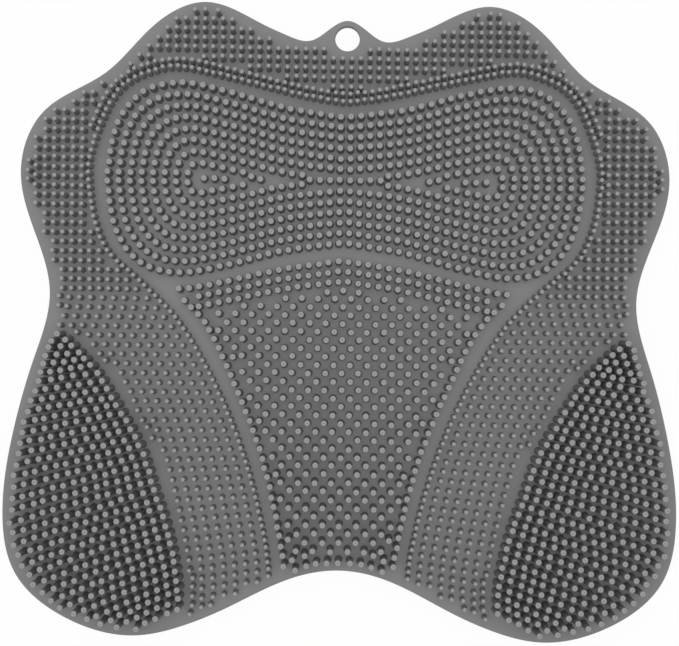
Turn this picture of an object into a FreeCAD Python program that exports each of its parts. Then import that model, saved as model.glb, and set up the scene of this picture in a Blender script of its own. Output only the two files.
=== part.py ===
"""Shower foot scrubber: a lobed mat covered with tapered bristles, moulded in one piece.

The mat lies on the cups under it. X is its width, Y its length towards the hanging loop, Z is up.
Its left half mirrors its right half.
"""
import math
import os

import FreeCAD
import Part

# Plate
WIDTH = 300.0
LENGTH = 282.6
PLATE_THICKNESS = 2.6
RIM_BEVEL = 0.9
HANGING_HOLE_DIAMETER = 10.9
HANGING_HOLE_Y = 125.5

# Suction cups under the plate
CUP_HEIGHT = 5.0
CUP_RIM_DIAMETER = 18.0
CUP_NECK_DIAMETER = 8.0
CUP_RIM_LAND = 1.2
CUP_HOLLOW_DEPTH = 3.4
CUP_SPACING = 66.0
CUP_EDGE_MARGIN = 6.0
CUP_SIDES = 12

# Coarse bristles, with a height for each panel
COARSE_BASE_DIAMETER = 2.9
PEANUT_BASE_DIAMETER = 3.3
COARSE_SPACING = 4.4
PEANUT_HEIGHT = 4.0
TRAPEZOID_TOP_HEIGHT = 4.6
TRAPEZOID_BOTTOM_HEIGHT = 7.4
LOBE_HEIGHT = 8.8

# Fine bristles
FINE_BASE_DIAMETER = 2.1
FINE_SPACING = 4.05
BORDER_HEIGHT = 5.6
BAND_HEIGHT = 4.6

# Distances between rows
PEANUT_ROW_PITCH = 4.9
LOBE_ROW_PITCH = 4.1
LOBE_POST_PITCH = 4.8
LOBE_TOP_SLOPE = 0.1
LOBE_BOTTOM_SLOPE = 0.5
TRAPEZOID_TOP_ROWS = 3
TRAPEZOID_TOP_PITCH = 7.2
TRAPEZOID_BOTTOM_PITCH = 7.5
TRAPEZOID_NOTCH_SPACING = 4.8
FINE_ROW_PITCH = 4.1
LEAST_GAP = 0.4
PEANUT_FILL_GAP = 1.2
TRAPEZOID_GRID_GAP = 0.7
TRAPEZOID_FILL_GAP = 1.0
LOBE_FILL_GAP = 0.9
FINE_FIELD_GAP = 0.7
COARSE_EDGE_MARGIN = 4.4
FINE_EDGE_MARGIN = 4.8
CHANNEL_WIDTH = 5.0
BAND_SPACING = 4.9
BAND_SLOPE = 0.14

# Which bristles stand in this solid: every second one along a row, every second fine row
POST_STEP = 2
FINE_ROW_STEP = 2

SIDES = 3
CELL = max(COARSE_BASE_DIAMETER, PEANUT_BASE_DIAMETER, FINE_BASE_DIAMETER) + max(
    LEAST_GAP, PEANUT_FILL_GAP, TRAPEZOID_GRID_GAP, TRAPEZOID_FILL_GAP, LOBE_FILL_GAP,
    FINE_FIELD_GAP)
HALF_WIDTH = WIDTH / 2
HALF_LENGTH = LENGTH / 2
TOP_Z = CUP_HEIGHT + PLATE_THICKNESS

# Middle of a lobe of the peanut, in percent of the half width
PEANUT_LOBE_X = 42.0
# Where the fine field changes, in percent of the half length: the level of the waist, below
# which its rows start at the trapezoid, and the level down to which its second row follows
WAIST_Y = 9.0
SECOND_ROW_Y = 58.0

# Right half of the outline, from bottom notch to hanging loop, in percent of the half sizes
OUTLINE = [
    (0.0, -78.4), (13.9, -81.1), (33.0, -90.8), (46.1, -96.7), (59.8, -99.9), (80.3, -94.9),
    (96.2, -80.3), (99.9, -62.3), (97.1, -36.0), (91.7, -14.2), (87.0, 7.8), (91.4, 25.6),
    (96.2, 45.7), (89.6, 64.7), (71.8, 76.9), (56.8, 92.9), (42.3, 99.9), (24.6, 92.9),
    (18.1, 89.9), (11.3, 88.2), (5.9, 91.5), (0.0, 94.7)]
# Outermost row of the peanut panel, upper right quarter
PEANUT = [
    (0.0, 63.5), (17.9, 66.3), (34.1, 70.9), (48.6, 73.6), (59.8, 70.5), (67.1, 60.5),
    (70.0, 44.0)]
# Top, side and bottom rows of the trapezoid panel
TRAPEZOID_TOP = [(0.0, 18.8), (18.5, 15.8), (35.6, 11.6), (46.5, 9.3), (49.5, 9.6)]
TRAPEZOID_SIDE = [
    (47.6, 6.7), (39.6, -2.3), (31.7, -19.1), (24.8, -36.7), (19.8, -54.8), (15.6, -77.4)]
TRAPEZOID_NOTCH = [(12.6, -77.2), (6.4, -75.1), (0.0, -74.6)]
# Innermost row of the fine bristles, over the peanut and down beside the trapezoid
FINE_INNER = [
    (0.0, 68.2), (12.0, 70.1), (29.7, 74.4), (47.3, 78.3), (56.5, 77.2), (64.8, 72.8),
    (70.0, 65.2), (74.7, 51.2), (74.9, 41.4), (73.2, 30.3), (68.8, 20.3), (60.9, 12.8),
    (53.0, 4.8), (46.5, -3.3), (38.0, -18.7), (30.8, -35.4), (25.2, -53.3), (21.3, -71.5),
    (20.4, -80.9)]
# Outermost row of a lower lobe, along the channel and inside the outline
LOBE_INNER = [
    (84.0, -4.9), (80.5, -6.9), (75.2, -12.4), (70.8, -17.7), (64.1, -28.9), (57.9, -40.6),
    (53.9, -52.9), (49.6, -66.4), (46.8, -80.6), (46.6, -90.9)]
LOBE_OUTER = [
    (46.6, -90.9), (52.1, -94.4), (59.4, -95.8), (70.4, -94.2), (82.1, -88.9), (91.3, -78.0),
    (95.5, -62.7), (92.6, -36.5), (87.8, -18.2), (84.8, -8.1), (84.0, -4.9)]


def scaled(points):
    """Points given in percent of the half sizes, in millimetres."""
    return [(HALF_WIDTH * x / 100, HALF_LENGTH * y / 100) for x, y in points]


def smooth(points, step=1.0):
    """A smooth curve through the points, as a chain of short steps."""
    chain = []
    last = len(points) - 1
    for i in range(last):
        near = [points[max(i - 1, 0)], points[i], points[i + 1], points[min(i + 2, last)]]
        count = max(2, int(math.dist(points[i], points[i + 1]) / step))
        for k in range(count):
            t = k / count
            chain.append(tuple(
                b + 0.5 * t * ((c - a) + t * ((2 * a - 5 * b + 4 * c - d)
                                              + t * (3 * b - a - 3 * c + d)))
                for a, b, c, d in zip(*near)))
    chain.append(points[-1])
    return chain


def walk(chain, pitch, start=0.5):
    """Points along a chain at an even pitch, the first one start pitches from its end."""
    steps = [math.dist(a, b) for a, b in zip(chain, chain[1:])]
    count = max(1 if start else 2, round(sum(steps) / pitch - 2 * start + 1))
    gap = sum(steps) / (count - 1 + 2 * start)
    found = []
    done = 0.0
    for (a, b), step in zip(zip(chain, chain[1:]), steps):
        while len(found) < count and (len(found) + start) * gap <= done + step + 1e-9:
            t = ((len(found) + start) * gap - done) / max(step, 1e-9)
            found.append((a[0] + (b[0] - a[0]) * t, a[1] + (b[1] - a[1]) * t))
        done += step
    return found


def inside(point, loop):
    """Whether a point lies inside a closed chain."""
    x, y = point
    hit = False
    for (x1, y1), (x2, y2) in zip(loop, loop[1:] + loop[:1]):
        if (y1 > y) != (y2 > y) and x < x1 + (y - y1) * (x2 - x1) / (y2 - y1):
            hit = not hit
    return hit


def away(point, chain):
    """Distance from a point to the nearest point of a chain."""
    return min(math.dist(point, other) for other in chain)


def spare(loop, step=1.0):
    """Rows of close points inside a closed chain, to try where one more bristle fits."""
    left, right = min(x for x, y in loop), max(x for x, y in loop)
    low, high = min(y for x, y in loop), max(y for x, y in loop)
    return [[(left + i * step, high - j * step) for i in range(int((right - left) / step) + 1)
             if inside((left + i * step, high - j * step), loop)]
            for j in range(int((high - low) / step) + 1)]


def peanut_rows():
    """Rows of the upper middle panel: rings that keep an even distance at the waist.

    Further out than the middle of a lobe they shrink about that middle.
    """
    quarter = smooth(scaled(PEANUT))
    middle = quarter[-1][1]
    centre = HALF_WIDTH * PEANUT_LOBE_X / 100
    waist_rise = quarter[0][1] - middle
    lobe_rise = min(quarter, key=lambda p: abs(p[0] - centre))[1] - middle
    waist_pitch = waist_rise / max(1, round(waist_rise / PEANUT_ROW_PITCH))
    rows = []
    for k in range(int(lobe_rise / PEANUT_ROW_PITCH) + 1):
        left = 1 - k * PEANUT_ROW_PITCH / lobe_rise
        ring = []
        for x, y in quarter:
            share = x / centre
            if share < 1:
                pitch = waist_pitch + (PEANUT_ROW_PITCH - waist_pitch) * share
                ring.append((x, y - k * pitch))
            else:
                ring.append((centre + (x - centre) * left, middle + (y - middle) * left))
        ring = [(x, y if y - middle > COARSE_SPACING * 0.4 else middle)
                for x, y in ring if y > middle - 1e-6]
        upper = walk(ring, COARSE_SPACING)
        rows.append(upper + [(x, 2 * middle - y) for x, y in reversed(upper)])
    return rows, quarter + [(x, 2 * middle - y) for x, y in quarter[-2::-1]]


def trapezoid_rows():
    """Rows of the lower middle panel: a few along its top, one round its side and bottom.

    A staggered grid that widens towards the bottom fills it.
    """
    top = smooth(scaled(TRAPEZOID_TOP))
    side = smooth(scaled(TRAPEZOID_SIDE))
    notch = smooth(scaled(TRAPEZOID_NOTCH))
    loop = top + side + notch
    rows = [
        walk(top, COARSE_SPACING), walk(side, COARSE_SPACING),
        walk(notch[::-1], TRAPEZOID_NOTCH_SPACING, 0)]
    for k in range(1, TRAPEZOID_TOP_ROWS):
        lowered = [(x, y - k * COARSE_SPACING) for x, y in top]
        rows.append([p for p in walk(lowered, COARSE_SPACING) if inside(p, loop)])
    reach = top[0][1] - notch[-1][1]
    grid = []
    y = top[0][1] - TRAPEZOID_TOP_ROWS * COARSE_SPACING
    while y > notch[-1][1]:
        pitch = TRAPEZOID_BOTTOM_PITCH + (TRAPEZOID_TOP_PITCH - TRAPEZOID_BOTTOM_PITCH) * (
            y - notch[-1][1]) / reach
        first = 0.5 * (len(grid) % 2)
        row = [((k + first) * pitch, y) for k in range(int(HALF_WIDTH / pitch))]
        grid.append([p for p in row if inside(p, loop)])
        y -= pitch / 2
    return rows, grid, loop


def lobe_chains():
    """The outermost row of the lower right lobe, along the channel and along the outline."""
    return smooth(scaled(LOBE_INNER)), smooth(scaled(LOBE_OUTER))


def lobe_rows():
    """Rows of the lower right lobe: they fan out from the channel to the outline."""
    inner, outer = lobe_chains()
    loop = inner + outer[1:-1]
    rows = []
    for x, y in walk(inner, LOBE_ROW_PITCH):
        part = (y - inner[0][1]) / (inner[-1][1] - inner[0][1])
        slope = LOBE_TOP_SLOPE + (LOBE_BOTTOM_SLOPE - LOBE_TOP_SLOPE) * part
        ray = [(x + k, y - k * slope) for k in range(1, int(HALF_WIDTH))]
        ray = [(x, y)] + [p for p in ray if inside(p, loop)]
        rows.append(walk(ray, LOBE_POST_PITCH, 0) if len(ray) > 1 else ray)
    return rows, loop


def fine_rows():
    """Rows of fine bristles: those that follow the panels, and those that fill the field."""
    inner = smooth(scaled(FINE_INNER))
    loop = inner + [(0.0, inner[-1][1])]
    lobe_inner, lobe_outer = lobe_chains()
    lobe = lobe_inner + lobe_outer[1:-1]
    lobe_top = max(y for x, y in lobe)
    waist = HALF_LENGTH * WAIST_Y / 100
    close = FINE_SPACING * 0.8
    shifted = [(x + close * nx, y + close * ny)
               for (x, y), (nx, ny) in zip(inner, normals(inner))
               if y > HALF_LENGTH * SECOND_ROW_Y / 100]
    rows = []
    y = waist
    while y < HALF_LENGTH:
        rows.append([((k + 0.5) * FINE_SPACING, y) for k in range(int(HALF_WIDTH / FINE_SPACING))])
        y += FINE_ROW_PITCH
    y = waist - FINE_ROW_PITCH
    while y > -HALF_LENGTH:
        start = min(inner, key=lambda p: abs(p[1] - y))[0]
        slope = BAND_SLOPE * min(1.0, max(0.0, -y / HALF_LENGTH - 0.3) * 2)
        rows.append([(start + k * BAND_SPACING, y - slope * k * BAND_SPACING)
                     for k in range(int(HALF_WIDTH / BAND_SPACING))])
        y -= FINE_ROW_PITCH
    for i, row in enumerate(rows):
        rows[i] = [p for p in row if not inside(p, loop) and not inside(p, lobe)
                   and away(p, lobe) > (CHANNEL_WIDTH if p[1] < lobe_top else close)]
    return [walk(inner, close), walk(shifted, close)], rows


def normals(chain):
    """Unit vectors to the left of a chain, at each of its points."""
    found = []
    for before, after in zip(chain[:1] + chain[:-1], chain[1:] + chain[-1:]):
        run = math.dist(before, after)
        found.append(((before[1] - after[1]) / run, (after[0] - before[0]) / run))
    return found


def standing(rows, diameter, margin, gap, outline, stood):
    """The points of the rows that keep clear of the edge, the hole and all that stood before."""
    kept = []
    for row in rows:
        kept.append([])
        for point in row:
            x, y = point
            if not -1e-6 <= x <= HALF_WIDTH or 1e-6 < x < (diameter + gap) / 2:
                continue
            cell = (int(x // CELL), int(y // CELL))
            near = [other for i in (-1, 0, 1) for j in (-1, 0, 1)
                    for other in stood.get((cell[0] + i, cell[1] + j), [])]
            if any(math.dist(point, other) < (diameter + wide) / 2 + gap for other, wide in near):
                continue
            if not inside(point, outline) or away(point, outline) < margin:
                continue
            if math.dist(point, (0.0, HANGING_HOLE_Y)) > HANGING_HOLE_DIAMETER / 2 + margin:
                stood.setdefault(cell, []).append((point, diameter))
                kept[-1].append(point)
    return kept


def height_at(panel, y):
    """Height of the bristles of a panel at a level of Y."""
    if panel == "trapezoid":
        low = HALF_LENGTH * TRAPEZOID_NOTCH[-1][1] / 100
        high = HALF_LENGTH * TRAPEZOID_TOP[0][1] / 100
        share = (y - low) / (high - low)
        return TRAPEZOID_BOTTOM_HEIGHT + (TRAPEZOID_TOP_HEIGHT - TRAPEZOID_BOTTOM_HEIGHT) * share
    if panel == "fine":
        return BORDER_HEIGHT if y > HALF_LENGTH * WAIST_Y / 100 else BAND_HEIGHT
    return {"peanut": PEANUT_HEIGHT, "lobe": LOBE_HEIGHT}[panel]


def bristles(outline):
    """Place, height and base diameter of every bristle of the solid."""
    stood = {}
    found = []
    coarse = (COARSE_BASE_DIAMETER, COARSE_EDGE_MARGIN)
    thick = (PEANUT_BASE_DIAMETER, COARSE_EDGE_MARGIN)
    fine = (FINE_BASE_DIAMETER, FINE_EDGE_MARGIN)
    peanut, peanut_loop = peanut_rows()
    trapezoid, grid, trapezoid_loop = trapezoid_rows()
    lobe, lobe_loop = lobe_rows()
    followed, field = fine_rows()
    for panel, rows, size, gap, row_step in [
            ("peanut", peanut, thick, LEAST_GAP, 1),
            ("peanut", spare(peanut_loop), thick, PEANUT_FILL_GAP, 1),
            ("trapezoid", trapezoid, coarse, LEAST_GAP, 1),
            ("trapezoid", grid, coarse, TRAPEZOID_GRID_GAP, 1),
            ("trapezoid", spare(trapezoid_loop), coarse, TRAPEZOID_FILL_GAP, 1),
            ("lobe", lobe, coarse, LEAST_GAP, 1),
            ("lobe", spare(lobe_loop), coarse, LOBE_FILL_GAP, 1),
            ("fine", followed, fine, LEAST_GAP, FINE_ROW_STEP),
            ("fine", field, fine, FINE_FIELD_GAP, FINE_ROW_STEP)]:
        kept = standing(rows, *size, gap, outline, stood)
        for i, row in enumerate(kept[::row_step]):
            for x, y in row[i % POST_STEP::POST_STEP]:
                for side in ((-1, 1) if x > 1e-6 else (1,)):
                    found.append((side * x, y, height_at(panel, y), size[0]))
    return found


# Solid
def outline_curve():
    """The closed outline of the plate."""
    right = scaled(OUTLINE)
    points = right + [(-x, y) for x, y in right[-2:0:-1]]
    line = Part.BSplineCurve()
    line.interpolate(Points=[FreeCAD.Vector(x, y, 0) for x, y in points], PeriodicFlag=True)
    return line


def ring(radius, z):
    """Corners of a regular polygon about Z, which is what a cup's round sections become."""
    turn = 2 * math.pi / CUP_SIDES
    return [FreeCAD.Vector(radius * math.cos(k * turn), radius * math.sin(k * turn), z)
            for k in range(CUP_SIDES)]


def closed(corners):
    """The closed wire round the corners."""
    return Part.makePolygon(corners + corners[:1])


def cup():
    """One suction cup, its rim on the floor and its neck in the plate."""
    rim = ring(CUP_RIM_DIAMETER / 2, 0)
    land = ring(CUP_RIM_DIAMETER / 2 - CUP_RIM_LAND, 0)
    neck = ring(CUP_NECK_DIAMETER / 2, CUP_HEIGHT)
    sunk = ring(CUP_NECK_DIAMETER / 2, CUP_HEIGHT + PLATE_THICKNESS / 2)
    apex = FreeCAD.Vector(0, 0, CUP_HOLLOW_DEPTH)
    faces = [Part.Face(closed(sunk)), Part.Face([closed(rim), closed(land[::-1])])]
    for k in range(CUP_SIDES):
        after = (k + 1) % CUP_SIDES
        faces.append(Part.Face(closed([rim[k], rim[after], neck[after], neck[k]])))
        faces.append(Part.Face(closed([neck[k], neck[after], sunk[after], sunk[k]])))
        faces.append(Part.Face(closed([land[after], land[k], apex])))
    skin = Part.Shell(faces)
    skin.sewShape()
    return Part.Solid(skin)


def cup_places(outline):
    """Centres of the suction cups: a grid, as far as it stays under the plate."""
    reach = CUP_RIM_DIAMETER / 2 + CUP_EDGE_MARGIN
    across = int(HALF_WIDTH / CUP_SPACING) + 1
    places = []
    for j in range(-across, across + 1):
        for i in range(-across, across):
            place = ((i + 0.5) * CUP_SPACING, j * CUP_SPACING)
            if inside(place, outline) and away(place, outline) > reach:
                places.append(place)
    return places


def plate_with_cups(line, outline):
    """The plate on its cups, with the bevelled rim and the hanging hole."""
    floor = Part.Wire(line.toShape())
    floor.translate(FreeCAD.Vector(0, 0, CUP_HEIGHT))
    ceiling = floor.copy()
    ceiling.translate(FreeCAD.Vector(0, 0, PLATE_THICKNESS))
    plate = Part.makeLoft([floor, ceiling], True, True)
    plate = plate.makeChamfer(
        RIM_BEVEL,
        [edge for edge in plate.Edges if edge.Closed and edge.CenterOfMass.z > TOP_Z - 0.01])
    hole = Part.makeCylinder(
        HANGING_HOLE_DIAMETER / 2, PLATE_THICKNESS, FreeCAD.Vector(0, HANGING_HOLE_Y, CUP_HEIGHT))
    cups = [cup() for place in cup_places(outline)]
    for one, (x, y) in zip(cups, cup_places(outline)):
        one.translate(FreeCAD.Vector(x, y, 0))
    return plate.cut(hole).fuse(cups)


def spike(x, y, height, diameter):
    """Base wire and side faces of one bristle."""
    foot = []
    for k in range(SIDES):
        angle = math.pi / 2 - 2 * math.pi * k / SIDES
        foot.append(FreeCAD.Vector(
            x + diameter / 2 * math.cos(angle), y + diameter / 2 * math.sin(angle), TOP_Z))
    tip = Part.Vertex(FreeCAD.Vector(x, y, TOP_Z + height))
    corners = [Part.Vertex(point) for point in foot]
    base = [Part.Edge(corners[k], corners[(k + 1) % SIDES]) for k in range(SIDES)]
    rises = [Part.Edge(corner, tip) for corner in corners]
    sides = [Part.Face(Part.Wire([base[k], rises[(k + 1) % SIDES], rises[k]]))
             for k in range(SIDES)]
    for side in sides:
        side.reverse()
    return Part.Wire(base), sides


def scrubber():
    """The whole mat as one solid: the plate with the bristles growing out of its top face."""
    line = outline_curve()
    outline = [(p.x, p.y) for p in line.discretize(Number=600)][:-1]
    body = plate_with_cups(line, outline)
    top = max((face for face in body.Faces if face.BoundBox.ZLength < 1e-6),
              key=lambda face: face.CenterOfMass.z)
    grown = [spike(*bristle) for bristle in bristles(outline)]
    faces = [face for face in body.Faces if not face.isSame(top)]
    faces.append(Part.Face(top.Wires + [base for base, sides in grown]))
    faces += [face for base, sides in grown for face in sides]
    shell = Part.Shell(faces)
    if not shell.isValid():
        shell.sewShape()
    solid = Part.Solid(shell)
    if solid.Volume < 0:
        solid.reverse()
    return solid


os.makedirs("parts", exist_ok=True)
scrubber().exportStep("parts/scrubber_mat.step")
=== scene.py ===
import math

import bmesh
import bpy
import numpy as np
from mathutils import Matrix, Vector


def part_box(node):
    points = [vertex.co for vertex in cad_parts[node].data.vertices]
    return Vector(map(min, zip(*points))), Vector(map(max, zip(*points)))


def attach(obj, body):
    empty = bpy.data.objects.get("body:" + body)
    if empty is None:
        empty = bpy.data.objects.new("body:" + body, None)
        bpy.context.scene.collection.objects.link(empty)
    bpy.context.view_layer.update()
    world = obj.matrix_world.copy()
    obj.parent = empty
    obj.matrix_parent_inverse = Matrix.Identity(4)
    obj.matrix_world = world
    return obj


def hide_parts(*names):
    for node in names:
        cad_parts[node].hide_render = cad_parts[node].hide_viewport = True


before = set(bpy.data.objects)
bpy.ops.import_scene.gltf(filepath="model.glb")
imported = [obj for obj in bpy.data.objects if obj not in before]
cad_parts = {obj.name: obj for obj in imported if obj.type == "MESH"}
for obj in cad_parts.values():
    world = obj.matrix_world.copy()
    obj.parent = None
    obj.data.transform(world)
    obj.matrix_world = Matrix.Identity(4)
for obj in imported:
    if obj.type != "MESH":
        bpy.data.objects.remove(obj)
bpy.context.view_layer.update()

# The plate: a flat sheet of silicone with a lobed outline and a rounded rim.
# It is moulded in one piece with everything that stands on it and under it, and a small
# loop at its top edge has the hole that the mat hangs by.
MM = 0.001
low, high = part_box("scrubber_mat")
HALF_WIDTH = (high[0] - low[0]) / 2 / MM
HALF_LENGTH = (high[1] - low[1]) / 2 / MM
PLATE_BOTTOM = 5.0
PLATE_TOP = 7.6
RIM_RADIUS = 1.0
RIM_STEPS = 5
OUTLINE_STEPS = 900
SPLINE_STEPS = 60
HOLE_RADIUS = 5.45
HOLE_Y = 125.5
HOLE_EDGE = 0.5
HOLE_SIDES = 72
# right half of the outline, in percent of the half sizes
OUTLINE = [
    (0.0, -78.4), (13.9, -81.1), (33.0, -90.8), (46.1, -96.7), (59.8, -99.9), (80.3, -94.9),
    (96.2, -80.3), (99.9, -62.3), (97.1, -36.0), (91.7, -14.2), (87.0, 7.8), (91.4, 25.6),
    (96.2, 45.7), (89.6, 64.7), (71.8, 76.9), (56.8, 92.9), (42.3, 99.9), (24.6, 92.9),
    (18.1, 89.9), (11.3, 88.2), (5.9, 91.5), (0.0, 94.7)]


def scaled(points):
    """Points given in percent of the half sizes, in millimetres."""
    return [(HALF_WIDTH * x / 100, HALF_LENGTH * y / 100) for x, y in points]


def closed_spline(points, count):
    """Evenly spaced points on the smooth closed curve through the given ones."""
    knots = np.array(points)
    span = np.linalg.norm(np.roll(knots, -1, 0) - knots, axis=1)
    n = len(knots)
    slopes = (np.roll(knots, -1, 0) - knots) / span[:, None]
    # the tangents with which the bend is the same on both sides of every knot
    matrix = np.zeros((n, n))
    right = np.zeros((n, 2))
    for i in range(n):
        before, after = span[i - 1], span[i]
        matrix[i, i - 1] += after
        matrix[i, i] += 2 * (before + after)
        matrix[i, (i + 1) % n] += before
        right[i] = 3 * (after * slopes[i - 1] + before * slopes[i])
    tangent = np.linalg.solve(matrix, right)
    fine = []
    for i in range(n):
        a, b = knots[i], knots[(i + 1) % n]
        ta, tb = tangent[i] * span[i], tangent[(i + 1) % n] * span[i]
        for t in np.linspace(0, 1, SPLINE_STEPS, endpoint=False):
            fine.append((2 * t**3 - 3 * t**2 + 1) * a + (t**3 - 2 * t**2 + t) * ta
                        + (3 * t**2 - 2 * t**3) * b + (t**3 - t**2) * tb)
    fine = np.array(fine + fine[:1])
    run = np.concatenate([[0], np.cumsum(np.linalg.norm(np.diff(fine, axis=0), axis=1))])
    marks = np.linspace(0, run[-1], count, endpoint=False)
    return [(float(np.interp(m, run, fine[:, 0])), float(np.interp(m, run, fine[:, 1])))
            for m in marks]


def left_normals(loop):
    """Unit vectors that point to the left of a closed loop, at each of its points."""
    found = []
    for before, after in zip(loop[-1:] + loop[:-1], loop[1:] + loop[:1]):
        run = math.dist(before, after)
        found.append(((before[1] - after[1]) / run, (after[0] - before[0]) / run))
    return found


def swept_edge(mesh, loop, profile):
    """Skin between copies of a loop, each moved in by a distance and set at a height."""
    normals = left_normals(loop)
    rings = []
    for inset, z in profile:
        rings.append([
            mesh.verts.new(((x + nx * inset) * MM, (y + ny * inset) * MM, z * MM))
            for (x, y), (nx, ny) in zip(loop, normals)])
    for below, above in zip(rings, rings[1:]):
        for k in range(len(loop)):
            after = (k + 1) % len(loop)
            mesh.faces.new((below[k], below[after], above[after], above[k]))
    return rings[0], rings[-1]


def round_edge(radius, steps, bottom, top):
    """Inset and height of a wall whose two edges are rounded, from its lower face to its upper."""
    arc = [math.pi / 2 * k / steps for k in range(steps + 1)]
    lower = [(radius * (1 - math.sin(a)), bottom + radius * (1 - math.cos(a))) for a in arc]
    upper = [(radius * (1 - math.cos(a)), top - radius * (1 - math.sin(a))) for a in arc]
    return lower + upper


def finished(mesh, name, smooth=True):
    """An object made of the mesh, with its faces outwards."""
    bmesh.ops.recalc_face_normals(mesh, faces=mesh.faces)
    data = bpy.data.meshes.new(name)
    mesh.to_mesh(data)
    mesh.free()
    if smooth:
        data.shade_smooth()
    else:
        data.shade_flat()
    piece = bpy.data.objects.new(name, data)
    bpy.context.scene.collection.objects.link(piece)
    return piece


right_half = scaled(OUTLINE)
outline = closed_spline(right_half + [(-x, y) for x, y in right_half[-2:0:-1]], OUTLINE_STEPS)
plate_mesh = bmesh.new()
rim_low, rim_high = swept_edge(
    plate_mesh, outline, round_edge(RIM_RADIUS, RIM_STEPS, PLATE_BOTTOM, PLATE_TOP))
hole = [(HOLE_RADIUS * math.cos(-2 * math.pi * k / HOLE_SIDES),
         HOLE_Y + HOLE_RADIUS * math.sin(-2 * math.pi * k / HOLE_SIDES))
        for k in range(HOLE_SIDES)]
hole_low, hole_high = swept_edge(
    plate_mesh, hole, round_edge(HOLE_EDGE, RIM_STEPS, PLATE_BOTTOM, PLATE_TOP))
for rings in ((rim_low, hole_low), (rim_high, hole_high)):
    edges = [plate_mesh.edges.get((ring[k], ring[(k + 1) % len(ring)]))
             for ring in rings for k in range(len(ring))]
    bmesh.ops.triangle_fill(plate_mesh, edges=edges, use_beauty=True)
plate = finished(plate_mesh, "mat_plate")


class Socket:
    """One output of a shader node, with Python's own operators for its maths."""

    def __init__(self, tree, output):
        self.tree = tree
        self.output = output

    def node(self, kind, settings=None, inputs=None, output=0):
        """Another node of the tree, its settings made first and then its inputs filled."""
        made = self.tree.nodes.new(kind)
        for name, value in (settings or {}).items():
            if name == "stops":
                ramp = made.color_ramp.elements
                while len(ramp) < len(value):
                    ramp.new(0.5)
                for stop, (place, colour) in zip(ramp, value):
                    stop.position = place
                    stop.color = colour
            else:
                setattr(made, name, value)
        for name, value in (inputs or {}).items():
            if isinstance(value, Socket):
                self.tree.links.new(value.output, made.inputs[name])
            else:
                made.inputs[name].default_value = value
        return Socket(self.tree, made.outputs[output])

    def maths(self, operation, first, second):
        """A Math node on two numbers, each a value or another node's output."""
        return self.node("ShaderNodeMath", {"operation": operation}, {0: first, 1: second})

    def __add__(self, other):
        return self.maths("ADD", self, other)

    def __radd__(self, other):
        return self.maths("ADD", other, self)

    def __sub__(self, other):
        return self.maths("SUBTRACT", self, other)

    def __rsub__(self, other):
        return self.maths("SUBTRACT", other, self)

    def __mul__(self, other):
        return self.maths("MULTIPLY", self, other)

    def __rmul__(self, other):
        return self.maths("MULTIPLY", other, self)


def silicone():
    """Matt grey silicone, paler on the ends of the bristles, with painted shade down their sides, round
    their feet and in their dimples.
    """
    # painted shade for the bristles' sides, feet and dimples; the plate's own grey; the paler bristle
    # ends
    PAINTED_SHADE_GREY = (0.11, 0.11, 0.114, 1.0)
    GREY = (0.2, 0.2, 0.206, 1.0)
    PALE_GREY = (0.285, 0.285, 0.29, 1.0)
    CLOUD_SCALE = 35.0
    CLOUD_TONE = 0.25
    CLOUD_ROUGHNESS = 0.12
    GRAIN_SCALE = 1800.0
    GRAIN_DEPTH = 0.0001
    ROUGHNESS = 0.5
    material = bpy.data.materials.new("grey_silicone")
    material.use_nodes = True
    tree = material.node_tree
    shader = tree.nodes["Principled BSDF"]
    place = Socket(tree, tree.nodes.new("ShaderNodeTexCoord").outputs["Object"])
    # per-ring tone of the bristles: paler ends, painted shade down the sides, at the feet and in the
    # dimples
    rubbed = place.node("ShaderNodeAttribute", {"attribute_name": "rubbed"}, {}, "Fac")
    cloud = place.node("ShaderNodeTexNoise", {}, {"Vector": place, "Scale": CLOUD_SCALE, "Detail": 3.0})
    grain = place.node("ShaderNodeTexNoise", {}, {"Vector": place, "Scale": GRAIN_SCALE})
    tone = 0.5 + rubbed * 0.5 + (cloud - 0.5) * CLOUD_TONE
    colour = place.node(
        "ShaderNodeValToRGB", {"stops": [(0.0, PAINTED_SHADE_GREY), (0.5, GREY), (1.0, PALE_GREY)]},
        {0: tone})
    tree.links.new(colour.output, shader.inputs["Base Color"])
    rough = ROUGHNESS + (cloud - 0.5) * CLOUD_ROUGHNESS
    tree.links.new(rough.output, shader.inputs["Roughness"])
    bump = place.node(
        "ShaderNodeBump", {}, {"Height": grain, "Strength": 0.05, "Distance": GRAIN_DEPTH})
    tree.links.new(bump.output, shader.inputs["Normal"])
    shader.inputs["Specular IOR Level"].default_value = 0.4
    return material


grey_silicone = silicone()


def fitted(piece):
    """Part of the one moulded body: the same silicone, under the root body, with the CAD mat hidden."""
    piece.data.materials.clear()
    piece.data.materials.append(grey_silicone)
    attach(piece, "root")
    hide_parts("scrubber_mat")


fitted(plate)

# Suction cups: flared feet under the plate that grip the wet floor.
# Each is a thin hollow cone on a short neck, moulded with the plate, in straight ranks.
CUP_RIM = 9.0
CUP_NECK = 4.0
CUP_LAND = 1.2
CUP_HOLLOW = 3.4
CUP_ROOT = 0.5
CUP_SPACING = 66.0
CUP_EDGE_MARGIN = 6.0
CUP_SIDES = 40
# radius and height: its root in the plate, the neck, the flare, the rim, and up its hollow
CUP_PROFILE = [
    (0, PLATE_BOTTOM + CUP_ROOT), (CUP_NECK, PLATE_BOTTOM + CUP_ROOT),
    (CUP_NECK, PLATE_BOTTOM - 0.6), (CUP_NECK + 0.4, PLATE_BOTTOM - 1.1),
    (CUP_RIM - 0.2, 0.25), (CUP_RIM, 0.1), (CUP_RIM - 0.15, 0), (CUP_RIM - CUP_LAND, 0),
    (CUP_RIM - 3.4, 1.9), (CUP_RIM - 6.2, 3.1), (0, CUP_HOLLOW)]


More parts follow.
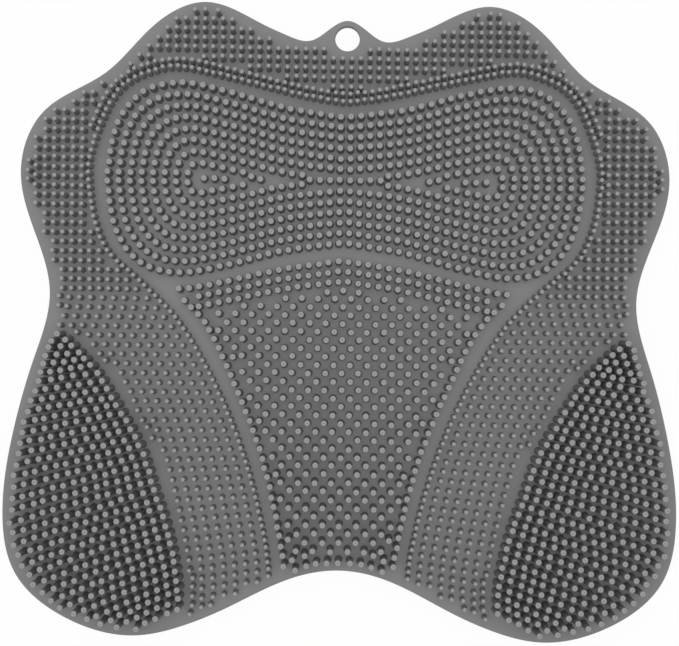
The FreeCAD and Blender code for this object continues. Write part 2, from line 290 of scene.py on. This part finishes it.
def turned(profile, sides, name):
    """A round shape from the radius and height of its rings, closed at both ends.

    A ring of radius 0 is a single point, and an open end gets a flat face with a sharp edge.
    """
    mesh = bmesh.new()
    rings = []
    for radius, z in profile:
        if radius == 0:
            rings.append([mesh.verts.new((0, 0, z * MM))])
            continue
        rings.append([
            mesh.verts.new((radius * math.cos(2 * math.pi * k / sides) * MM,
                            radius * math.sin(2 * math.pi * k / sides) * MM, z * MM))
            for k in range(sides)])
    for below, above in zip(rings, rings[1:]):
        for k in range(sides):
            after = (k + 1) % sides
            corners = [below[k % len(below)], below[after % len(below)],
                       above[after % len(above)], above[k % len(above)]]
            # beside a single point two of the corners are the same one
            mesh.faces.new(list(dict.fromkeys(corners)))
    for ring in (rings[0], rings[-1]):
        if len(ring) > 1:
            for edge in mesh.faces.new(ring).edges:
                edge.smooth = False
    return finished(mesh, name)


def inside(point, loop):
    """Whether a point lies inside a closed loop."""
    x, y = point
    hit = False
    for (x1, y1), (x2, y2) in zip(loop, loop[1:] + loop[:1]):
        if (y1 > y) != (y2 > y) and x < x1 + (y - y1) * (x2 - x1) / (y2 - y1):
            hit = not hit
    return hit


def away(point, chain):
    """Distance from a point to the nearest point of a chain."""
    return min(math.dist(point, other) for other in chain)


def standing_tree(name):
    """Geometry Nodes: one shape stood on every point, each leaning a little its own way."""
    tree = bpy.data.node_groups.new(name, "GeometryNodeTree")
    sockets = {}
    for label, kind, way in [
            ("Points", "Geometry", "INPUT"), ("Shape", "Object", "INPUT"),
            ("Lean", "Float", "INPUT"), ("Seed", "Int", "INPUT"),
            ("Finish", "Material", "INPUT"), ("Mesh", "Geometry", "OUTPUT")]:
        made = tree.interface.new_socket(
            name=label, in_out=way, socket_type="NodeSocket" + kind)
        sockets[label] = made.identifier
    given = tree.nodes.new("NodeGroupInput").outputs
    shape = tree.nodes.new("GeometryNodeObjectInfo")
    stretch = tree.nodes.new("GeometryNodeInputNamedAttribute")
    stretch.data_type = "FLOAT_VECTOR"
    stretch.inputs["Name"].default_value = "stretch"
    lean = tree.nodes.new("FunctionNodeRandomValue")
    lean.data_type = "FLOAT_VECTOR"
    reach = tree.nodes.new("ShaderNodeCombineXYZ")
    back = tree.nodes.new("ShaderNodeVectorMath")
    back.operation = "SCALE"
    back.inputs["Scale"].default_value = -1.0
    stand = tree.nodes.new("GeometryNodeInstanceOnPoints")
    real = tree.nodes.new("GeometryNodeRealizeInstances")
    paint = tree.nodes.new("GeometryNodeSetMaterial")
    wires = [
        (given["Points"], stand.inputs["Points"]),
        (given["Shape"], shape.inputs["Object"]),
        (shape.outputs["Geometry"], stand.inputs["Instance"]),
        (given["Lean"], reach.inputs["X"]), (given["Lean"], reach.inputs["Y"]),
        (reach.outputs["Vector"], lean.inputs["Max"]),
        (reach.outputs["Vector"], back.inputs[0]), (back.outputs["Vector"], lean.inputs["Min"]),
        (given["Seed"], lean.inputs["Seed"]),
        (lean.outputs["Value"], stand.inputs["Rotation"]),
        (stretch.outputs["Attribute"], stand.inputs["Scale"]),
        (stand.outputs["Instances"], real.inputs["Geometry"]),
        (real.outputs["Geometry"], paint.inputs["Geometry"]),
        (given["Finish"], paint.inputs["Material"])]
    for source, target in wires:
        tree.links.new(source, target)
    tree.links.new(paint.outputs["Geometry"], tree.nodes.new("NodeGroupOutput").inputs["Mesh"])
    return tree, sockets


def stood_on(places, shape, name, lean=0.0, seed=1):
    """A plain mesh of one shape stood on many places, given as x, y, z and stretch along Z."""
    base = bpy.data.meshes.new(name)
    base.from_pydata([(x * MM, y * MM, z * MM) for x, y, z, share in places], [], [])
    stretch = base.attributes.new("stretch", "FLOAT_VECTOR", "POINT")
    stretch.data.foreach_set("vector", [v for x, y, z, share in places for v in (1, 1, share)])
    carrier = bpy.data.objects.new(name + "_places", base)
    bpy.context.scene.collection.objects.link(carrier)
    tree, sockets = standing_tree(name)
    modifier = carrier.modifiers.new("stand", "NODES")
    modifier.node_group = tree
    modifier[sockets["Shape"]] = shape
    modifier[sockets["Lean"]] = lean
    modifier[sockets["Seed"]] = seed
    modifier[sockets["Finish"]] = grey_silicone
    evaluated = carrier.evaluated_get(bpy.context.evaluated_depsgraph_get())
    data = bpy.data.meshes.new_from_object(evaluated)
    data.name = name
    piece = bpy.data.objects.new(name, data)
    bpy.context.scene.collection.objects.link(piece)
    for used in (carrier, shape):
        bpy.data.objects.remove(used, do_unlink=True)
    return piece


cup = turned(CUP_PROFILE, CUP_SIDES, "cup_shape")
cup_ranks = int(HALF_WIDTH / CUP_SPACING) + 1
cup_places = [
    ((i + 0.5) * CUP_SPACING, j * CUP_SPACING, 0, 1)
    for j in range(-cup_ranks, cup_ranks + 1) for i in range(-cup_ranks, cup_ranks)]
cup_places = [
    place for place in cup_places
    if inside(place[:2], outline) and away(place[:2], outline) > CUP_RIM + CUP_EDGE_MARGIN]
fitted(stood_on(cup_places, cup, "suction_cups"))

# Upper middle panel: short thick bristles in rings that follow its peanut shape.
# At the waist the rings keep an even distance; further out they shrink about a lobe's middle.
# Every bristle is a tapered round post with a flat, slightly dimpled end.
POST_SIDES = 10
SUNK = 0.2
FILLET = 0.4
END_BEVEL = 0.15
END_BEVEL_DEPTH = 0.25
DIMPLE_DEPTH = 0.15
DIMPLE_SHARE = 0.4
# extra painted shadow round each bristle's foot, on its fillet
FOOT_SHADE = 0.5
PEANUT_BASE = 3.3
PEANUT_TIP = 2.8
COARSE_BASE = 2.9
COARSE_TIP = 2.75
COARSE_SPACING = 4.4
COARSE_MARGIN = 4.4
LEAST_GAP = 0.4
# a point this near a line counts as on it
HAIR = 1e-6
LEAN = math.radians(2.5)
PEANUT_HEIGHT = 4.0
PEANUT_ROW_PITCH = 4.9
PEANUT_LOBE_MIDDLE = HALF_WIDTH * 0.42
PEANUT_FILL_GAP = 1.2
# a bristle this near the panel's middle line stands on it
MIDDLE_SNAP = COARSE_SPACING * 0.4
# its outermost row, upper right quarter, in percent of the half sizes
PEANUT = [
    (0.0, 63.5), (17.9, 66.3), (34.1, 70.9), (48.6, 73.6), (59.8, 70.5), (67.1, 60.5),
    (70.0, 44.0)]


def post(height, base, tip, name, side=-0.8, dimple=-0.5):
    """One bristle: a tapered post with a dimpled flat end and a small fillet round its foot.

    Each ring has its radius, its height and a tone that the material reads: 1 makes the end
    paler, and lower values paint shade into the dimple and down the side, darkest at the foot.
    """
    end = tip / 2
    rings = [
        (base / 2 + FILLET, -SUNK, side - FOOT_SHADE), (base / 2, FILLET, side - FOOT_SHADE),
        (end, height - END_BEVEL_DEPTH, side), (end - END_BEVEL, height, 1.0),
        (end * DIMPLE_SHARE, height, 1.0), (0, height - DIMPLE_DEPTH, dimple)]
    shape = turned([(radius, z) for radius, z, painted_tone in rings], POST_SIDES, name)
    rubbed = shape.data.attributes.new("rubbed", "FLOAT", "POINT")
    rubbed.data.foreach_set("value", [
        painted_tone for radius, z, painted_tone in rings for k in range(POST_SIDES if radius else 1)])
    return shape


def smooth_curve(points, step=1.0):
    """A smooth curve through the points, as a chain of short steps."""
    chain = []
    last = len(points) - 1
    for i in range(last):
        near = [points[max(i - 1, 0)], points[i], points[i + 1], points[min(i + 2, last)]]
        count = max(2, int(math.dist(points[i], points[i + 1]) / step))
        for k in range(count):
            t = k / count
            chain.append(tuple(
                b + 0.5 * t * ((c - a) + t * ((2 * a - 5 * b + 4 * c - d)
                                              + t * (3 * b - a - 3 * c + d)))
                for a, b, c, d in zip(*near)))
    chain.append(points[-1])
    return chain


def walk(chain, pitch, start=0.5):
    """Points along a chain at an even pitch, the first one start pitches from its end."""
    steps = [math.dist(a, b) for a, b in zip(chain, chain[1:])]
    count = max(1 if start else 2, round(sum(steps) / pitch - 2 * start + 1))
    gap = sum(steps) / (count - 1 + 2 * start)
    found = []
    done = 0.0
    for (a, b), step in zip(zip(chain, chain[1:]), steps):
        while len(found) < count and (len(found) + start) * gap <= done + step + 1e-9:
            t = ((len(found) + start) * gap - done) / max(step, 1e-9)
            found.append((a[0] + (b[0] - a[0]) * t, a[1] + (b[1] - a[1]) * t))
        done += step
    return found


taken = []


def with_room(rows, base, margin, gap=LEAST_GAP):
    """The points of the rows that keep clear of the edge, the hole and all that stood before."""
    kept = []
    for x, y in (point for row in rows for point in row):
        if not -HAIR <= x <= HALF_WIDTH or HAIR < x < (base + gap) / 2:
            continue
        if any(math.dist((x, y), other) < (base + wide) / 2 + gap for other, wide in taken):
            continue
        if not inside((x, y), outline) or away((x, y), outline) < margin:
            continue
        if math.dist((x, y), (0.0, HOLE_Y)) > HOLE_RADIUS + margin:
            taken.append(((x, y), base))
            kept.append((x, y))
    return kept


def spare(loop):
    """A close grid of the points inside a loop, to try where one more bristle fits."""
    left, right = min(x for x, y in loop), max(x for x, y in loop)
    low, high = min(y for x, y in loop), max(y for x, y in loop)
    return [[(left + i, high - j) for i in range(int(right - left) + 1)
             if inside((left + i, high - j), loop)] for j in range(int(high - low) + 1)]


def both_halves(places, share=None):
    """The right half's bristles and their mirror images, with their stretch along Z."""
    found = []
    for x, y in places:
        stretch = share(y) if share else 1.0
        if x > HAIR:
            found.append((-x, y, PLATE_TOP, stretch))
        found.append((x, y, PLATE_TOP, stretch))
    return found


quarter = smooth_curve(scaled(PEANUT))
middle = quarter[-1][1]
waist_rise = quarter[0][1] - middle
lobe_rise = min(quarter, key=lambda p: abs(p[0] - PEANUT_LOBE_MIDDLE))[1] - middle
waist_pitch = waist_rise / round(waist_rise / PEANUT_ROW_PITCH)
peanut_rows = []
for k in range(int(lobe_rise / PEANUT_ROW_PITCH) + 1):
    shrunk = 1 - k * PEANUT_ROW_PITCH / lobe_rise
    ring = []
    for x, y in quarter:
        share = x / PEANUT_LOBE_MIDDLE
        if share < 1:
            ring.append((x, y - k * (waist_pitch + (PEANUT_ROW_PITCH - waist_pitch) * share)))
        else:
            ring.append((PEANUT_LOBE_MIDDLE + (x - PEANUT_LOBE_MIDDLE) * shrunk,
                         middle + (y - middle) * shrunk))
    ring = [(x, y if y - middle > MIDDLE_SNAP else middle)
            for x, y in ring if y > middle - HAIR]
    upper = walk(ring, COARSE_SPACING)
    peanut_rows.append(upper + [(x, 2 * middle - y) for x, y in reversed(upper)])
peanut_loop = quarter + [(x, 2 * middle - y) for x, y in quarter[-2::-1]]
fitted(stood_on(
    both_halves(with_room(peanut_rows, PEANUT_BASE, COARSE_MARGIN)
                + with_room(spare(peanut_loop), PEANUT_BASE, COARSE_MARGIN, PEANUT_FILL_GAP)),
    post(PEANUT_HEIGHT, PEANUT_BASE, PEANUT_TIP, "peanut_post", dimple=0.0),
    "peanut_bristles", LEAN, 3))

# Lower middle panel: thick bristles in a staggered grid, framed by rows along its edges.
# They grow longer towards the notch at the mat's lower edge.
TRAPEZOID_TOP_HEIGHT = 4.6
TRAPEZOID_BOTTOM_HEIGHT = 7.4
TRAPEZOID_TOP_ROWS = 3
TRAPEZOID_TOP_PITCH = 7.2
TRAPEZOID_BOTTOM_PITCH = 7.5
TRAPEZOID_NOTCH_SPACING = 4.8
TRAPEZOID_GRID_GAP = 0.7
TRAPEZOID_FILL_GAP = 1.0
# its top, side and bottom rows, in percent of the half sizes
TRAPEZOID_TOP = [(0.0, 18.8), (18.5, 15.8), (35.6, 11.6), (46.5, 9.3), (49.5, 9.6)]
TRAPEZOID_SIDE = [
    (47.6, 6.7), (39.6, -2.3), (31.7, -19.1), (24.8, -36.7), (19.8, -54.8), (15.6, -77.4)]
TRAPEZOID_NOTCH = [(12.6, -77.2), (6.4, -75.1), (0.0, -74.6)]

panel_top = smooth_curve(scaled(TRAPEZOID_TOP))
panel_side = smooth_curve(scaled(TRAPEZOID_SIDE))
panel_notch = smooth_curve(scaled(TRAPEZOID_NOTCH))
panel_loop = panel_top + panel_side + panel_notch
panel_rows = [
    walk(panel_top, COARSE_SPACING), walk(panel_side, COARSE_SPACING),
    walk(panel_notch[::-1], TRAPEZOID_NOTCH_SPACING, 0)]
for k in range(1, TRAPEZOID_TOP_ROWS):
    lowered = [(x, y - k * COARSE_SPACING) for x, y in panel_top]
    panel_rows.append([p for p in walk(lowered, COARSE_SPACING) if inside(p, panel_loop)])
panel_reach = panel_top[0][1] - panel_notch[-1][1]
panel_grid = []
y = panel_top[0][1] - TRAPEZOID_TOP_ROWS * COARSE_SPACING
while y > panel_notch[-1][1]:
    pitch = TRAPEZOID_BOTTOM_PITCH + (TRAPEZOID_TOP_PITCH - TRAPEZOID_BOTTOM_PITCH) * (
        y - panel_notch[-1][1]) / panel_reach
    first = 0.5 * (len(panel_grid) % 2)
    grid = [((k + first) * pitch, y) for k in range(int(HALF_WIDTH / pitch))]
    panel_grid.append([p for p in grid if inside(p, panel_loop)])
    y -= pitch / 2


def panel_share(y):
    """How long a bristle of this panel is at a level of Y, as a share of the longest."""
    part = (y - panel_notch[-1][1]) / panel_reach
    return 1 + (TRAPEZOID_TOP_HEIGHT / TRAPEZOID_BOTTOM_HEIGHT - 1) * part


fitted(stood_on(
    both_halves(with_room(panel_rows, COARSE_BASE, COARSE_MARGIN)
                + with_room(panel_grid, COARSE_BASE, COARSE_MARGIN, TRAPEZOID_GRID_GAP)
                + with_room(spare(panel_loop), COARSE_BASE, COARSE_MARGIN, TRAPEZOID_FILL_GAP),
                panel_share),
    post(TRAPEZOID_BOTTOM_HEIGHT, COARSE_BASE, COARSE_TIP, "panel_post"),
    "trapezoid_bristles", LEAN, 5))

# The two lower lobes: the longest bristles of the mat, thick and close together.
# Their rows run across the lobe from the channel to the mat's edge, fanning out.
LOBE_HEIGHT = 8.8
LOBE_ROW_PITCH = 4.1
LOBE_POST_PITCH = 4.8
LOBE_TOP_SLOPE = 0.1
LOBE_BOTTOM_SLOPE = 0.5
LOBE_FILL_GAP = 0.9
# the outermost row of the right lobe, along the channel and along the mat's edge, in percent
LOBE_INNER = [
    (84.0, -4.9), (80.5, -6.9), (75.2, -12.4), (70.8, -17.7), (64.1, -28.9), (57.9, -40.6),
    (53.9, -52.9), (49.6, -66.4), (46.8, -80.6), (46.6, -90.9)]
LOBE_OUTER = [
    (46.6, -90.9), (52.1, -94.4), (59.4, -95.8), (70.4, -94.2), (82.1, -88.9), (91.3, -78.0),
    (95.5, -62.7), (92.6, -36.5), (87.8, -18.2), (84.8, -8.1), (84.0, -4.9)]

lobe_inner = smooth_curve(scaled(LOBE_INNER))
lobe_outer = smooth_curve(scaled(LOBE_OUTER))
lobe_loop = lobe_inner + lobe_outer[1:-1]
lobe_rows = []
for x, y in walk(lobe_inner, LOBE_ROW_PITCH):
    part = (y - lobe_inner[0][1]) / (lobe_inner[-1][1] - lobe_inner[0][1])
    slope = LOBE_TOP_SLOPE + (LOBE_BOTTOM_SLOPE - LOBE_TOP_SLOPE) * part
    ray = [(x + k, y - k * slope) for k in range(1, int(HALF_WIDTH))]
    ray = [(x, y)] + [p for p in ray if inside(p, lobe_loop)]
    lobe_rows.append(walk(ray, LOBE_POST_PITCH, 0) if len(ray) > 1 else ray)
fitted(stood_on(
    both_halves(with_room(lobe_rows, COARSE_BASE, COARSE_MARGIN)
                + with_room(spare(lobe_loop), COARSE_BASE, COARSE_MARGIN, LOBE_FILL_GAP)),
    post(LOBE_HEIGHT, COARSE_BASE, COARSE_TIP, "lobe_post"),
    "lobe_bristles", LEAN, 7))

# Fine bristles: thin posts that fill the border and the two bands beside the trapezoid.
# Two rows follow the top of the peanut panel, and one goes on down beside the trapezoid.
# The rest stand in ranks square to the mat, which tilt a little low down in the bands.
FINE_BASE = 2.1
FINE_TIP = 1.95
# lighter painted shade down the sides of the fine bristles than on the thick ones
FINE_SIDE = -0.3
FINE_SPACING = 4.05
CLOSE_SPACING = FINE_SPACING * 0.8
FINE_ROW_PITCH = 4.1
FINE_MARGIN = 4.8
FINE_GRID_GAP = 0.7
FINE_FILL_GAP = 1.4
BORDER_HEIGHT = 5.6
BAND_HEIGHT = 4.6
BAND_SPACING = 4.9
BAND_SLOPE = 0.14
BAND_SLOPE_START = 0.3
BAND_SLOPE_GAIN = 2
CHANNEL_WIDTH = 5.0
WAIST = HALF_LENGTH * 0.09
SECOND_ROW_END = HALF_LENGTH * 0.58
# their innermost row, over the peanut and down beside the trapezoid, in percent
FINE_INNER = [
    (0.0, 68.2), (12.0, 70.1), (29.7, 74.4), (47.3, 78.3), (56.5, 77.2), (64.8, 72.8),
    (70.0, 65.2), (74.7, 51.2), (74.9, 41.4), (73.2, 30.3), (68.8, 20.3), (60.9, 12.8),
    (53.0, 4.8), (46.5, -3.3), (38.0, -18.7), (30.8, -35.4), (25.2, -53.3), (21.3, -71.5),
    (20.4, -80.9)]

inner = smooth_curve(scaled(FINE_INNER))
inner_loop = inner + [(0.0, inner[-1][1])]
lobe_top = max(y for x, y in lobe_loop)
shifted = [(x + CLOSE_SPACING * nx, y + CLOSE_SPACING * ny)
           for (x, y), (nx, ny) in zip(inner[1:-1], left_normals(inner)[1:-1])]
fine_places = with_room(
    [walk(inner, CLOSE_SPACING),
     walk([p for p in shifted if p[1] > SECOND_ROW_END], CLOSE_SPACING)],
    FINE_BASE, FINE_MARGIN)
fine_rows = []
y = WAIST
while y < HALF_LENGTH:
    fine_rows.append([((k + 0.5) * FINE_SPACING, y)
                      for k in range(int(HALF_WIDTH / FINE_SPACING))])
    y += FINE_ROW_PITCH
y = WAIST - FINE_ROW_PITCH
while y > -HALF_LENGTH:
    start = min(inner, key=lambda p: abs(p[1] - y))[0]
    part = max(0.0, -y / HALF_LENGTH - BAND_SLOPE_START)
    slope = BAND_SLOPE * min(1.0, part * BAND_SLOPE_GAIN)
    fine_rows.append([(start + k * BAND_SPACING, y - slope * k * BAND_SPACING)
                      for k in range(int(HALF_WIDTH / BAND_SPACING))])
    y -= FINE_ROW_PITCH
whole = spare([(HALF_WIDTH, -HALF_LENGTH), (HALF_WIDTH, HALF_LENGTH),
               (0.0, HALF_LENGTH), (0.0, -HALF_LENGTH)])
for rows, gap in ((fine_rows, FINE_GRID_GAP), (whole, FINE_FILL_GAP)):
    free = [[p for p in row if not inside(p, inner_loop) and not inside(p, lobe_loop)
             and away(p, lobe_loop) > (CHANNEL_WIDTH if p[1] < lobe_top else CLOSE_SPACING)]
            for row in rows]
    fine_places += with_room(free, FINE_BASE, FINE_MARGIN, gap)
fitted(stood_on(
    both_halves([p for p in fine_places if p[1] > WAIST]),
    post(BORDER_HEIGHT, FINE_BASE, FINE_TIP, "border_post", FINE_SIDE, 1.0),
    "border_bristles", LEAN, 11))
fitted(stood_on(
    both_halves([p for p in fine_places if p[1] <= WAIST]),
    post(BAND_HEIGHT, FINE_BASE, FINE_TIP, "band_post", FINE_SIDE, 1.0),
    "band_bristles", LEAN, 13))

# The studio: a white floor, one wide soft lamp overhead and an even white surround.
# The camera looks straight down, a little turned, with its middle shifted towards the loop.
FLOOR_SIZE = 3000.0
CAMERA_PLACE = (0.4, -12.6, 425.9)
CAMERA_TURN = math.radians(1.0)
CAMERA_SHIFT = (-0.0052, 0.0398)
LAMP_PLACE = (-100.0, 150.0, 900.0)
LAMP_SIZE = 1600.0
LAMP_POWER = 6.6
SURROUND = 0.65
# how white the floor is to the camera; the rest of it shows the mat's shadow
FLOOR_WHITE = 0.95

floor_mesh = bmesh.new()
bmesh.ops.create_grid(floor_mesh, x_segments=1, y_segments=1, size=FLOOR_SIZE * MM)
floor = finished(floor_mesh, "floor", smooth=False)
white = bpy.data.materials.new("white_floor")
white.use_nodes = True
floor_tree = white.node_tree
matt = floor_tree.nodes["Principled BSDF"]
matt.inputs["Base Color"].default_value = (0.8, 0.8, 0.8, 1.0)
matt.inputs["Roughness"].default_value = 0.9
path = floor_tree.nodes.new("ShaderNodeLightPath")
bright = floor_tree.nodes.new("ShaderNodeEmission")
blend = floor_tree.nodes.new("ShaderNodeMixShader")
seen = Socket(floor_tree, path.outputs["Is Camera Ray"]) + Socket(
    floor_tree, path.outputs["Is Glossy Ray"]) + Socket(
    floor_tree, path.outputs["Is Transmission Ray"])
share = seen * FLOOR_WHITE
floor_tree.links.new(share.output, blend.inputs[0])
floor_tree.links.new(matt.outputs[0], blend.inputs[1])
floor_tree.links.new(bright.outputs[0], blend.inputs[2])
floor_tree.links.new(blend.outputs[0], floor_tree.nodes["Material Output"].inputs["Surface"])
floor.data.materials.append(white)

world = bpy.data.worlds.new("surround")
bpy.context.scene.world = world
world.use_nodes = True
world.node_tree.nodes["Background"].inputs["Color"].default_value = (1.0, 1.0, 1.0, 1.0)
world.node_tree.nodes["Background"].inputs["Strength"].default_value = SURROUND

lamp_data = bpy.data.lights.new("overhead_softbox", "AREA")
lamp_data.shape = "RECTANGLE"
lamp_data.size = LAMP_SIZE * MM
lamp_data.size_y = LAMP_SIZE * MM
lamp_data.energy = LAMP_POWER
lamp = bpy.data.objects.new("overhead_softbox", lamp_data)
lamp.location = [distance * MM for distance in LAMP_PLACE]
lamp.rotation_euler = (
    -math.atan2(LAMP_PLACE[1], LAMP_PLACE[2]), math.atan2(LAMP_PLACE[0], LAMP_PLACE[2]), 0)
bpy.context.scene.collection.objects.link(lamp)

lens = bpy.data.cameras.new("camera")
lens.lens = 50.0
lens.sensor_width = 36.0
lens.shift_x, lens.shift_y = CAMERA_SHIFT
lens.clip_start = 0.01
camera = bpy.data.objects.new("camera", lens)
camera.location = [distance * MM for distance in CAMERA_PLACE]
camera.rotation_euler = (0, 0, CAMERA_TURN)
bpy.context.scene.collection.objects.link(camera)
bpy.context.scene.camera = camera
bpy.context.scene.view_settings.view_transform = "Standard"
